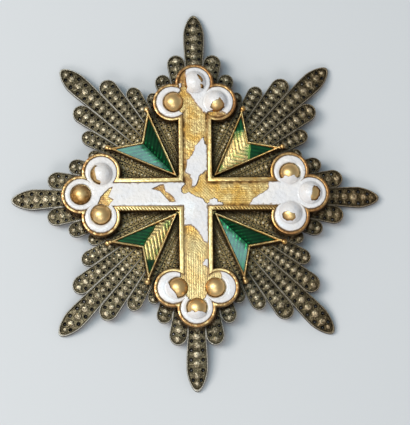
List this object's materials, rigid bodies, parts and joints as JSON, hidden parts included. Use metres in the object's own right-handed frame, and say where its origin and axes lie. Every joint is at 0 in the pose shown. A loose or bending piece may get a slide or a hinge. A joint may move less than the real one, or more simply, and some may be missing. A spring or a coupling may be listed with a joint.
{
  "type": "breast star",
  "caption": "Breast star of an order: pierced silver rays under a green eight-pointed cross and a white trefoil cross with gold domes, its enamel partly lost, on a brooch pin.",
  "frame": {"origin": "centre of the star's outline, on the surface that the ray tips lie on", "axes": "+Z out of the face, +Y towards the top ray, +X towards the right ray"},
  "size_m": [0.085, 0.0888, 0.0101],
  "materials": {
    "tarnished_silver": "tarnished, dark in the recesses, bright on worn beads and threads",
    "plain_silver": "dull, tarnished",
    "gilt_metal": "worn gilding, satin",
    "green_enamel": "translucent over engraving, glossy",
    "white_enamel": "opaque, glossy, chipped"
  },
  "bodies": {
    "root": {"ray_group_n": "tarnished_silver", "ray_group_ne": "tarnished_silver", "ray_group_e": "tarnished_silver", "ray_group_se": "tarnished_silver", "ray_group_s": "tarnished_silver", "ray_group_sw": "tarnished_silver", "ray_group_w": "tarnished_silver", "ray_group_nw": "tarnished_silver", "back_plate": "plain_silver", "brooch_pin": "plain_silver", "green_cross_frame": "gilt_metal", "white_cross_frame": "gilt_metal", "dome_n_left": "gilt_metal", "dome_n_end": "gilt_metal", "dome_n_right": "gilt_metal", "dome_e_left": "gilt_metal", "dome_e_end": "gilt_metal", "dome_e_right": "gilt_metal", "dome_s_left": "gilt_metal", "dome_s_end": "gilt_metal", "dome_s_right": "gilt_metal", "dome_w_left": "gilt_metal", "dome_w_end": "gilt_metal", "dome_w_right": "gilt_metal", "green_enamel_nw": "green_enamel", "green_enamel_se": "green_enamel", "green_enamel_ne_top": "green_enamel", "green_enamel_ne_right": "green_enamel", "green_enamel_sw_left": "green_enamel", "green_enamel_sw_low": "green_enamel", "white_enamel_n_stem": "white_enamel", "white_enamel_n_tip": "white_enamel", "white_enamel_n_ring": "white_enamel", "white_enamel_w_and_s": "white_enamel", "white_enamel_e_tip": "white_enamel", "white_enamel_s_tip": "white_enamel", "white_enamel_s_crumb": "white_enamel"}
  },
  "joints": []
}
